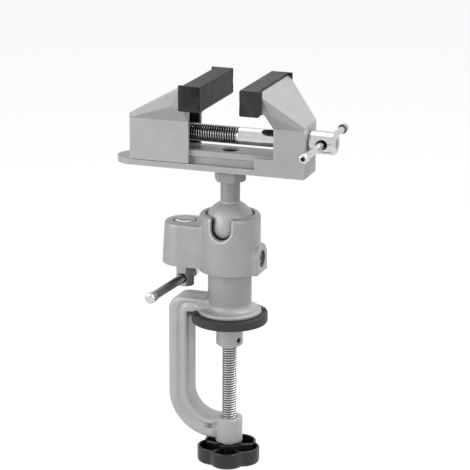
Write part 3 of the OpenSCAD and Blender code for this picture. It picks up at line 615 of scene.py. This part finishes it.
def cast_material(name, dark, light, rough, metal, round_mm=0.0, wear=0.5, grain=1500.0, relief=0.00006, marks=()):
    """Satin cast metal: cloudy grain between two greys, brighter smoother edges, marks and a fine bump."""
    m, t, shader = new_material(name, Metallic=metal)
    skin = use(t, CAST_SKIN, Grain=grain)
    worn = product(t, use(t, EDGE_WEAR)["Mask"], wear)
    tone = blend(t, worn, blend(t, skin["Mask"], dark, light), RUBBED)
    t.links.new(marked(t, tone, marks), shader.inputs["Base Color"])
    r = spread(t, skin["Mask"], 0.0, 1.0, rough + 0.05, rough - 0.05)
    t.links.new(math_node(t, "SUBTRACT", r, product(t, worn, 0.12)), shader.inputs["Roughness"])
    bump(t, shader, skin["Height"], 0.35, relief, round_mm)
    return m


def steel_material(name, dark, light, rough, stretch, metal=1.0, round_mm=0.3, relief=0.00001, marks=()):
    """Bright or coated steel with fine lines along one direction, small smudges and marks."""
    m, t, shader = new_material(name, Metallic=metal)
    lines = use(t, DRAWN_LINES, Stretch=stretch)["Mask"]
    smudge = use(t, MOULDED_SKIN, Dust=160.0)["Dust"]
    t.links.new(marked(t, blend(t, lines, dark, light), marks), shader.inputs["Base Color"])
    r = spread(t, lines, 0.0, 1.0, rough + 0.03, rough - 0.03)
    t.links.new(math_node(t, "ADD", r, product(t, smudge, 0.08)), shader.inputs["Roughness"])
    bump(t, shader, lines, 0.25, relief, round_mm)
    return m


def thread_material(name, dark, light, rough, centre, axes, root_mm, crest_mm):
    """Steel thread by the distance from the screw's axis: dark roots, painted shade in the grooves, and pale
    crests, partly rubbed metal and partly a painted highlight.
    """
    m, t, shader = new_material(name, Metallic=1.0)
    crest = spread(t, distance(t, centre, axes), root_mm * MM, crest_mm * MM)
    smudge = use(t, MOULDED_SKIN, Dust=300.0)["Dust"]
    pale_crest = product(t, crest, spread(t, smudge, 0.0, 1.0, 1.0, 0.75))
    t.links.new(blend(t, pale_crest, dark, light), shader.inputs["Base Color"])
    t.links.new(spread(t, crest, 0.0, 1.0, rough + 0.22, rough), shader.inputs["Roughness"])
    bump(t, shader, smudge, 0.2, 0.00001)
    return m


def moulded_material(name, dark, light, rough, round_mm=0.0, relief=0.00005, **sockets):
    """Moulded plastic or rubber: pits, dusty patches that are paler and duller, paler edges."""
    m, t, shader = new_material(name, **sockets)
    skin = use(t, MOULDED_SKIN)
    edge = use(t, EDGE_WEAR, Radius=0.0007)["Mask"]
    dusty = math_node(t, "ADD", product(t, skin["Dust"], 0.6), product(t, edge, 0.5), True)
    t.links.new(blend(t, dusty, dark, light), shader.inputs["Base Color"])
    t.links.new(spread(t, skin["Dust"], 0.0, 1.0, rough - 0.04, rough + 0.08), shader.inputs["Roughness"])
    bump(t, shader, skin["Pit"], 0.4, relief, round_mm)
    return m


EVEN = (60.0, 60.0, 60.0)
FINE = (600.0, 600.0, 600.0)

# The frame's marks: painted shade on the post, painted light on the arm's top, and painted shade down the spine and
# in the pocket.
frame_metal = cast_material(
    "frame_metal", (0.43, 0.43, 0.425), (0.49, 0.49, 0.48), 0.46, 0.2,
    marks=[(post_shade, (0.33, 0.33, 0.325), 0.85), (arm_top_light, PAINTED_HIGHLIGHT, 0.5), (spine_and_pocket_shade, PAINTED_SHADE, 1.0)])
# The head's casting is a darker grey than the frame's, painted shade for its place under the vise; its marks are
# painted shade and a painted highlight.
head_metal = cast_material(
    "head_metal", (0.36, 0.36, 0.355), (0.42, 0.42, 0.41), 0.44, 0.25,
    marks=[(socket_shade, PAINTED_SHADE, 1.0), (side_recess_shade, PAINTED_SHADE, 0.8), (notch_bevel_highlight, PAINTED_HIGHLIGHT, 0.5)])
# Painted shade in the mounting screw's counterbore.
base_metal = cast_material(
    "base_metal", (0.38, 0.38, 0.375), (0.44, 0.44, 0.43), 0.46, 0.2, marks=[(screw_hole_shade, PAINTED_SHADE, 1.0)])
# Painted shade in the jaw's hollow.
jaw_metal = cast_material(
    "jaw_metal", (0.40, 0.40, 0.395), (0.46, 0.46, 0.45), 0.46, 0.2, marks=[(jaw_hollow_shade, PAINTED_SHADE, 1.0)])
# The stud's marks: a painted sheen on the ball, and painted shade along the notch's edge.
stud_metal = cast_material(
    "stud_metal", (0.22, 0.22, 0.215), (0.34, 0.34, 0.33), 0.50, 0.3, 0.4, 0.6, 1100.0, 0.0001,
    [(painted_ball_sheen, (0.50, 0.50, 0.49), 0.75), (notch_shade, PAINTED_SHADE, 1.0)])
turned_foot = cast_material("turned_foot", (0.38, 0.38, 0.375), (0.44, 0.44, 0.43), 0.40, 0.3, 0.3)

# Painted shade round the bar's hole and a painted dark reflection on the head's end face.
bright_steel = steel_material(
    "bright_steel", (0.54, 0.54, 0.54), (0.62, 0.62, 0.62), 0.08, (3000.0, 90.0, 90.0), round_mm=0.0,
    marks=[(head_shade_and_reflection, PAINTED_SHADE, 1.0)])
bright_bar = steel_material(
    "bright_bar", (0.54, 0.54, 0.54), (0.60, 0.60, 0.60), 0.10, (60.0, 20.0, 60.0))
# Painted shade where the caps meet the bar and a painted dark reflection in their ends.
tommy_cap = steel_material(
    "tommy_cap", (0.54, 0.54, 0.54), (0.62, 0.62, 0.62), 0.08, EVEN, marks=[(tommy_cap_shade_and_reflection, PAINTED_SHADE, 1.0)])
lock_end = steel_material("lock_end", (0.54, 0.54, 0.54), (0.62, 0.62, 0.62), 0.08, EVEN)
# The lock cap's chrome is painted dark, a painted dark reflection on its dome, with a painted highlight at the
# front of its edge and painted shade on its side.
cap_chrome = steel_material(
    "cap_chrome", (0.13, 0.13, 0.13), (0.22, 0.22, 0.22), 0.12, (90.0, 90.0, 90.0), round_mm=0.0,
    marks=[(lock_cap_highlight, PAINTED_HIGHLIGHT, 1.0), (lock_cap_gap_shade, PAINTED_SHADE, 1.0)])
# Painted shade round the bar's hole in the lock bolt.
zinc_bar = steel_material(
    "zinc_bar", (0.34, 0.34, 0.33), (0.40, 0.40, 0.39), 0.22, (60.0, 300.0, 60.0),
    marks=[(lock_hole_shade, PAINTED_SHADE, 0.9)])
# Painted shade on the lock bar beside the bolt.
dark_bar = steel_material(
    "dark_bar", (0.23, 0.23, 0.23), (0.37, 0.37, 0.37), 0.18, (500.0, 12.0, 500.0), relief=0.000003,
    marks=[(lock_bar_shade, PAINTED_SHADE, 0.55)])
socket_screw = steel_material(
    "socket_screw", (0.03, 0.03, 0.03), (0.06, 0.06, 0.06), 0.50, FINE, metal=0.0, round_mm=0.25)
side_screw = steel_material("side_screw", (0.36, 0.36, 0.35), (0.50, 0.50, 0.49), 0.24, FINE, round_mm=0.25)
black_screw = steel_material("black_screw", (0.015, 0.015, 0.015), (0.03, 0.03, 0.03), 0.40, FINE, round_mm=0.25)
dark_screw = steel_material("dark_screw", (0.16, 0.16, 0.16), (0.26, 0.26, 0.26), 0.32, FINE, round_mm=0.25)
nut_metal = steel_material("nut_metal", (0.20, 0.19, 0.17), (0.30, 0.28, 0.25), 0.34, FINE, round_mm=0.0)
# Both threads carry painted shade in their roots and pale crests that are partly a painted highlight.
thread_steel = thread_material(
    "thread_steel", (0.03, 0.03, 0.03), (0.50, 0.50, 0.49), 0.24, LEAD_AXIS, FROM_LINE_X, 5.9, 6.8)
zinc_screw = thread_material(
    "zinc_screw", (0.10, 0.10, 0.10), (0.72, 0.72, 0.71), 0.30, MIDDLE, FROM_LINE_Z, 5.1, 5.8)

bearing_plastic = moulded_material("bearing_plastic", (0.62, 0.60, 0.55), (0.72, 0.70, 0.66), 0.5)
pad_rubber = moulded_material(
    "pad_rubber", (0.010, 0.010, 0.010), (0.026, 0.026, 0.026), 0.56, 0.35, Specular_IOR_Level=0.36)
ring_rubber = moulded_material("ring_rubber", (0.014, 0.014, 0.0145), (0.032, 0.032, 0.033), 0.56, 0.3)
knob_plastic = moulded_material(
    "knob_plastic", (0.004, 0.004, 0.0042), (0.010, 0.010, 0.0104), 0.34, 0.3, 0.00002)


def dress(piece, material, body=None, replaces=()):
    """Gives a piece its material, and for a new piece its body and the CAD nodes it stands for."""
    piece.data.materials.clear()
    piece.data.materials.append(material)
    if body:
        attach(piece, body)
    if replaces:
        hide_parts(*replaces)
    return piece


# Castings

dress(softened_casting("frame_casting", "clamp_frame", 0.6, 3, frame_groove),
      frame_metal, "frame", ["clamp_frame"])
dress(softened_casting("head_casting", "socket_housing", 0.55, 2),
      head_metal, "swivel_head", ["socket_housing"])
dress(edged_casting("base_casting", "vise_base", 0.7), base_metal, "vise", ["vise_base"])
dress(edged_casting("jaw_casting", "moving_jaw", 0.7), jaw_metal, "slide_jaw", ["moving_jaw"])
dress(nodes["pressure_foot"], turned_foot)
dress(nodes["ball_stud"], stud_metal)

# Lead screw

PITCH = 2.0
LEAD_R = 7.0
LEAD_TIP = -77.3
THREAD_END = 7.4
HEAD_X = 66.6
KEEPER_LOW, KEEPER_HIGH = 50.4, 54.8


def lead_screw_skin():
    """Thread from the tip to the plain shank, shank with the keeper's groove, up to the head."""
    edge, tip_chamfer, fade, keeper_depth, thread_depth = 0.05, 1.5, 1.6, 2.2, 1.2
    thread = np.arange(LEAD_TIP, THREAD_END + 0.01, PITCH / 14)
    shank = np.array([8.0, 8.6, 30.0, KEEPER_LOW, KEEPER_LOW + edge, KEEPER_HIGH - edge, KEEPER_HIGH, 66.0,
                      HEAD_X + 0.5])
    s = np.concatenate([thread, shank])
    cut = np.clip((THREAD_END - s) / fade, 0, 1) * np.clip((s - LEAD_TIP + 0.2) / 0.2, 0, 1)
    base = np.minimum(LEAD_R, LEAD_R - tip_chamfer + np.clip(s - LEAD_TIP, 0, tip_chamfer))
    groove = (s > KEEPER_LOW + edge / 2) & (s < KEEPER_HIGH - edge / 2)
    base = np.where(groove, LEAD_R - keeper_depth, base)
    points, faces = thread_skin(s, base, cut, PITCH, thread_depth, 64)
    return along_x(points, LEAD_Z), faces


lead = dress(mesh_object("lead_thread", *lead_screw_skin(), 40), thread_steel, "spindle", ["lead_screw"])
lead.data.materials.append(bright_steel)
centre = np.zeros(len(lead.data.polygons) * 3)
lead.data.polygons.foreach_get("center", centre)
plain = centre[0::3] > (THREAD_END - 0.4) * MM
lead.data.polygons.foreach_set("material_index", plain.astype(np.int32))


def lead_head():
    """The CAD lead screw's head, cut off at the washer, with its edges rounded."""
    bm = flat_copy("lead_screw")
    cut = bmesh.ops.bisect_plane(bm, geom=bm.verts[:] + bm.edges[:] + bm.faces[:], dist=1e-7,
                                 plane_co=((HEAD_X - 0.02) * MM, 0, 0), plane_no=(1, 0, 0), clear_inner=True)
    rim = [e for e in cut["geom_cut"] if isinstance(e, bmesh.types.BMEdge)]
    bmesh.ops.holes_fill(bm, edges=rim, sides=0)
    return rounded_piece("lead_head", bm, sharp_edges(bm, 30), 0.35)


dress(lead_head(), bright_steel, "spindle")
dress(nodes["tommy_bar"], bright_bar)
dress(nodes["tommy_bar_caps"], tommy_cap)
dress(nodes["thrust_washer"], dark_screw)
dress(nodes["screw_keeper_pin"], dark_screw)
dress(nodes["jaw_nut"], nut_metal)
dress(nodes["mounting_screw"], socket_screw)

# Jaw pads

PAD_Z = 177.2
PAD_H = 20.2
PAD_W = 78.0
TEETH = 9
TOOTH_DEPTH = 0.85
TOOTH_BACK = 1.0


def tooth_strip(face_x, inward):
    """Strip of level teeth: a saw line of depth TOOTH_DEPTH along Z in front of a flat back, carried along Y."""
    z = np.linspace(0, PAD_H, 2 * TEETH + 1)
    x = np.where(np.arange(2 * TEETH + 1) % 2 == 1, 0.0, TOOTH_DEPTH)
    x[[0, -1]] = TOOTH_DEPTH * 0.5
    profile = np.concatenate([np.stack([x, z], -1), [[TOOTH_BACK, PAD_H], [TOOTH_BACK, 0.0]]])
    profile = profile[::-1] if inward > 0 else profile
    return swept(profile, [((face_x, y, PAD_Z), (inward, 0, 0), (0, 0, 1)) for y in (-PAD_W / 2, PAD_W / 2)])


def jaw_pad(name, node, face_x, inward):
    """Copy of the CAD pad with its gripping face set back behind the tooth strip, and its other edges rounded."""
    bm = flat_copy(node)
    front = [v for v in bm.verts if abs(v.co.x / MM - face_x) < 0.01]
    bmesh.ops.translate(bm, vec=(inward * TOOTH_BACK * MM, 0, 0), verts=front)
    kept = set(front)
    edges = [e for e in sharp_edges(bm, 30) if not (e.verts[0] in kept and e.verts[1] in kept)]
    return rounded_piece(name, bm, edges, 0.8)


for label, node, face_x, inward, body in (("fixed", "fixed_jaw_pad", 20.3, 1, "vise"),
                                          ("moving", "moving_jaw_pad", -11.5, -1, "slide_jaw")):
    dress(jaw_pad(label + "_pad", node, face_x, inward), pad_rubber, body, [node])
    dress(mesh_object(label + "_pad_teeth", *tooth_strip(face_x, inward), 20), pad_rubber, body)

# Swivel head fittings

dress(nodes["swivel_bush"], bearing_plastic)
dress(nodes["ball_seat"], bearing_plastic)
dress(nodes["brake_pin"], bearing_plastic)
dress(nodes["retaining_screw"], side_screw)
dress(nodes["lock_wedge"], zinc_bar)
dress(nodes["lock_bolt"], zinc_bar)
dress(nodes["lock_bar"], dark_bar)
dress(nodes["lock_bar_caps"], lock_end)


def lock_cap_skin():
    """Domed nut turned about the lock bolt: an upright side, a rounded edge and a flat arch up to the middle,
    whose height falls by the square of the radius."""
    side_r, arch_r, foot_z, arch_z, rise = 8.9, 7.6, 76.8, 80.6, 0.7
    r = np.linspace(arch_r, 0.3, 16)
    arch = np.stack([r, arch_z + rise - rise * (r / arch_r) ** 2], -1)
    edge = rounded_path([(6.0, foot_z), (side_r, foot_z), (side_r, arch_z - 0.25), (arch_r, arch_z)], [0.2, 1.0])
    points, faces = turned(np.concatenate([edge[:-1], arch]), 72)
    return points + np.array(LOCK_AXIS), faces


dress(mesh_object("lock_cap", *lock_cap_skin(), 50), cap_chrome, "lock")

# Pad ring

RING_R = 30.5
RING_T = 7.6


def ring_skin():
    """Disc turned about Z with rounded rims and shallow concentric grooves on its underside, a clipped cosine of
    the radius, and two lugs on its top."""
    groove_pitch, groove_depth, lug_in, lug_out, lug_half = 3.0, 0.5, 26.2, 29.6, 2.5
    under = np.linspace(6, 27, 85)
    grooves = np.stack([under, groove_depth * np.clip(np.cos(under / groove_pitch * tau) * 1.6 - 0.3, 0, 1)], -1)
    side = rounded_path([(28, 0), (RING_R, 0), (RING_R, RING_T), (20, RING_T)], [1.4, 0.8])
    disc = turned(np.concatenate([[(2, 0)], grooves, side, [(2, RING_T)]]), 128)
    outline = rounded_path([(lug_in, 0), (lug_in, -lug_half), (lug_out, -lug_half), (lug_out, lug_half),
                            (lug_in, lug_half), (lug_in, 0)], [0.7] * 4, 4)[:-1]
    middle = outline.mean(0)
    lugs = []
    for a in (radians(31), radians(211)):
        turn = np.array([[cos(a), sin(a), 0], [-sin(a), cos(a), 0]])
        lugs.append(tube(np.stack([((outline - middle) * size + middle) @ turn + np.array([0, 0, RING_T - 0.2 + h])
                                   for h, size in ((0.0, 1.0), (1.1, 1.0), (1.6, 0.86))])))
    return joined(disc, *lugs)


dress(mesh_object("table_ring", *ring_skin(), 40), ring_rubber, "frame", ["clamp_ring"])

# Clamp screw and knob

CLAMP_R = 6.0
CLAMP_LOW = -104.0
CLAMP_HIGH = -20.1
KNOB_R = 25.9
KNOB_TURN = 66
KNOB_LOBES = 5
KNOB_Z = -118.8
KNOB_TOP = -105.4
KNOB_FLOOR = KNOB_Z + 4.5
HUB_TOP = -104.0


def clamp_screw_skin():
    """Riveted end under the knob, thread up to the foot, and the plain tip with the set screw's groove."""
    low_end = [(-120.0, 4.4), (-119.9, 5.0), (-119.4, 5.35), (-118.6, 5.4), (-104.2, 5.4)]
    tip = [(-20.0, CLAMP_R), (-19.95, 5.0), (-15.85, 5.0), (-15.8, 4.1), (-12.8, 4.1), (-12.75, 5.0), (-8.0, 5.0),
           (-7.6, 4.6)]
    thread = np.arange(CLAMP_LOW, CLAMP_HIGH, PITCH / 12)
    thread = np.stack([thread, np.full(len(thread), CLAMP_R)], -1)
    s, base = np.concatenate([low_end, thread, tip]).T
    fade, thread_depth = 0.8, 0.95
    cut = np.clip(s - CLAMP_LOW, 0, 1) * np.clip((CLAMP_HIGH - 0.3 - s) / fade, 0, 1)
    return thread_skin(s, base, cut, PITCH, thread_depth, 48)


dress(mesh_object("clamp_thread", *clamp_screw_skin(), 40), zinc_screw, "clamp_handle", ["clamp_screw"])
dress(nodes["foot_set_screw"], black_screw)


def lobed_radius(turn):
    """Radius of the knob's outline at an angle: a soft maximum of the round core and the lobe circles."""
    lobe_r, lobe_x, core, hard, near = 13.73, 12.17, 21.9, 2.6, 25.0
    terms = [np.full_like(turn, core)]
    for i in range(KNOB_LOBES):
        d = turn - radians(KNOB_TURN + 360 / KNOB_LOBES * i)
        terms.append(lobe_x * np.cos(d) + np.sqrt(lobe_r ** 2 - (lobe_x * np.sin(d)) ** 2))
    r = np.log(np.exp(hard * (np.stack(terms) - near)).sum(0)) / hard + near
    return r * (KNOB_R / r.max())


def knob_skin():
    """Lobed cup: underside, rounded outer wall, rim, inner wall, floor and round hub, from the outline and
    an inset at the rim and plain radii at the hub; and a rounded rib at each valley."""
    sides = 240
    turn = np.arange(sides) / sides * tau
    wall = rounded_path([(10, KNOB_Z), (0, KNOB_Z), (0, KNOB_TOP), (1.9, KNOB_TOP), (2.2, KNOB_FLOOR),
                         (6, KNOB_FLOOR)], [3.2, 0.9, 0.9, 1.6], 6)
    hub = rounded_path([(12.5, KNOB_FLOOR), (10.5, KNOB_FLOOR), (10.2, HUB_TOP), (5.2, HUB_TOP)], [1.0, 0.6], 5)
    r = np.concatenate([np.full((1, sides), 4.2), lobed_radius(turn)[None] - wall[:, :1], hub[:, :1] + 0 * turn])
    z = np.concatenate([[KNOB_Z], wall[:, 1], hub[:, 1]])
    cup = tube(round_rings(r, turn, z[:, None]))
    rib = rounded_path([(0, 0), (1.5, 0), (1.2, 8.2), (-1.2, 8.2), (-1.5, 0), (0, 0)], [0, 0.9, 0.9, 0], 4)[:-1]
    ribs = []
    for i in range(KNOB_LOBES):
        a = radians(KNOB_TURN + 360 / KNOB_LOBES * (i + 0.5))
        out = np.array([cos(a), sin(a), 0.0])
        side = np.array([-sin(a), cos(a), 0.0])
        foot = np.array([0, 0, KNOB_FLOOR - 0.5])
        ribs.append(swept(rib, [(out * d + foot, side, (0, 0, 1)) for d in (20.6, 9.6)]))
    return joined(cup, *ribs)


dress(mesh_object("star_knob", *knob_skin(), 40), knob_plastic, "clamp_handle", ["clamp_knob"])

# Light, floor and camera

FLOOR_Z = -177.0
FLOOR_HALF = 9000
FLOOR_LINES = 7
LAMP_SIZE = 0.8
LAMP_TARGET = (0, 0, 90)


def white_rays(tree):
    """1 for rays that should see the white background: from the camera, from gloss and through glass."""
    path = add(tree, "ShaderNodeLightPath").outputs
    seen = math_node(tree, "MAXIMUM", path["Is Camera Ray"], path["Is Glossy Ray"])
    return math_node(tree, "MAXIMUM", seen, path["Is Transmission Ray"])


def make_world():
    """White for the camera, gloss and glass, and a soft grey fill for everything else."""
    world = bpy.data.worlds.new("studio")
    world.use_nodes = True
    t = world.node_tree
    t.nodes.clear()
    fill = add(t, "ShaderNodeBackground", {"Color": (1, 1, 1, 1), "Strength": 0.16})
    white = add(t, "ShaderNodeBackground", {"Color": (1, 1, 1, 1), "Strength": 1.0})
    mix = add(t, "ShaderNodeMixShader", {0: white_rays(t), 1: fill.outputs[0], 2: white.outputs[0]})
    add(t, "ShaderNodeOutputWorld", {0: mix.outputs[0]})
    scene.world = world


def make_floor():
    """Level sheet under the knob's lowest place: pale to light, near white to the camera, with the shadow kept."""
    line = np.linspace(-FLOOR_HALF, FLOOR_HALF, FLOOR_LINES)
    x, y = np.meshgrid(line, line)
    points = np.stack([x.ravel(), y.ravel(), np.full(FLOOR_LINES ** 2, FLOOR_Z)], -1)
    floor = mesh_object("floor", points, grid_faces(FLOOR_LINES, FLOOR_LINES, False).tolist())
    m = bpy.data.materials.new("floor_paper")
    m.use_nodes = True
    t = m.node_tree
    t.nodes.clear()
    paper = blend(t, noise(t, place(t), 3.0), (0.80, 0.80, 0.80), (0.83, 0.83, 0.83))
    plain = add(t, "ShaderNodeBsdfDiffuse", {"Color": paper})
    shade = add(t, "ShaderNodeBsdfDiffuse", {"Color": (0.20, 0.20, 0.20, 1)})
    glow = add(t, "ShaderNodeEmission", {"Color": (1, 1, 1, 1), "Strength": 0.90})
    bright = add(t, "ShaderNodeAddShader", {0: shade.outputs[0], 1: glow.outputs[0]})
    mix = add(t, "ShaderNodeMixShader", {0: white_rays(t), 1: plain.outputs[0], 2: bright.outputs[0]})
    add(t, "ShaderNodeOutputMaterial", {0: mix.outputs[0]})
    floor.data.materials.append(m)


def soft_light(name, place_mm, watts):
    """A square area lamp at a place, facing the vise."""
    data = bpy.data.lights.new(name, "AREA")
    data.shape = "SQUARE"
    data.size = LAMP_SIZE
    data.energy = watts
    lamp = bpy.data.objects.new(name, data)
    start = Vector(place_mm) * MM
    lamp.location = start
    lamp.rotation_euler = (Vector(LAMP_TARGET) * MM - start).to_track_quat("-Z", "Y").to_euler()
    scene.collection.objects.link(lamp)


make_world()
make_floor()
soft_light("left_soft", (-900, -900, 500), 10.5)
soft_light("right_soft", (1040, -700, 700), 5.2)
soft_light("back_top", (620, 330, 1220), 13.0)
soft_light("top_left", (-350, 300, 1330), 2.6)

# The camera looks from THETA round and PHI up, turned by ROLL, at a point beside TARGET.
THETA = radians(19.0609)
PHI = radians(16.1325)
ROLL = radians(0.33446)
TARGET = (0, 0, 79.5)
DISTANCE, SIDEWAYS, DOWN = 1686.2907, 3.87141, 7.98171
away = Vector((sin(THETA) * cos(PHI), -cos(THETA) * cos(PHI), sin(PHI)))
level = Vector((cos(THETA), sin(THETA), 0.0))
upright = away.cross(level)
right = level * cos(ROLL) + upright * sin(ROLL)
up = upright * cos(ROLL) - level * sin(ROLL)
spot = (Vector(TARGET) + away * DISTANCE + right * SIDEWAYS - up * DOWN) * MM
lens = bpy.data.cameras.new("camera")
lens.sensor_width = 36.0
lens.lens = 163.483
lens.clip_start = 0.05
lens.clip_end = 50.0
camera = bpy.data.objects.new("camera", lens)
camera.matrix_world = Matrix(((right.x, up.x, away.x, spot.x), (right.y, up.y, away.y, spot.y),
                              (right.z, up.z, away.z, spot.z), (0, 0, 0, 1)))
scene.collection.objects.link(camera)
scene.camera = camera
scene.view_settings.view_transform = "Standard"
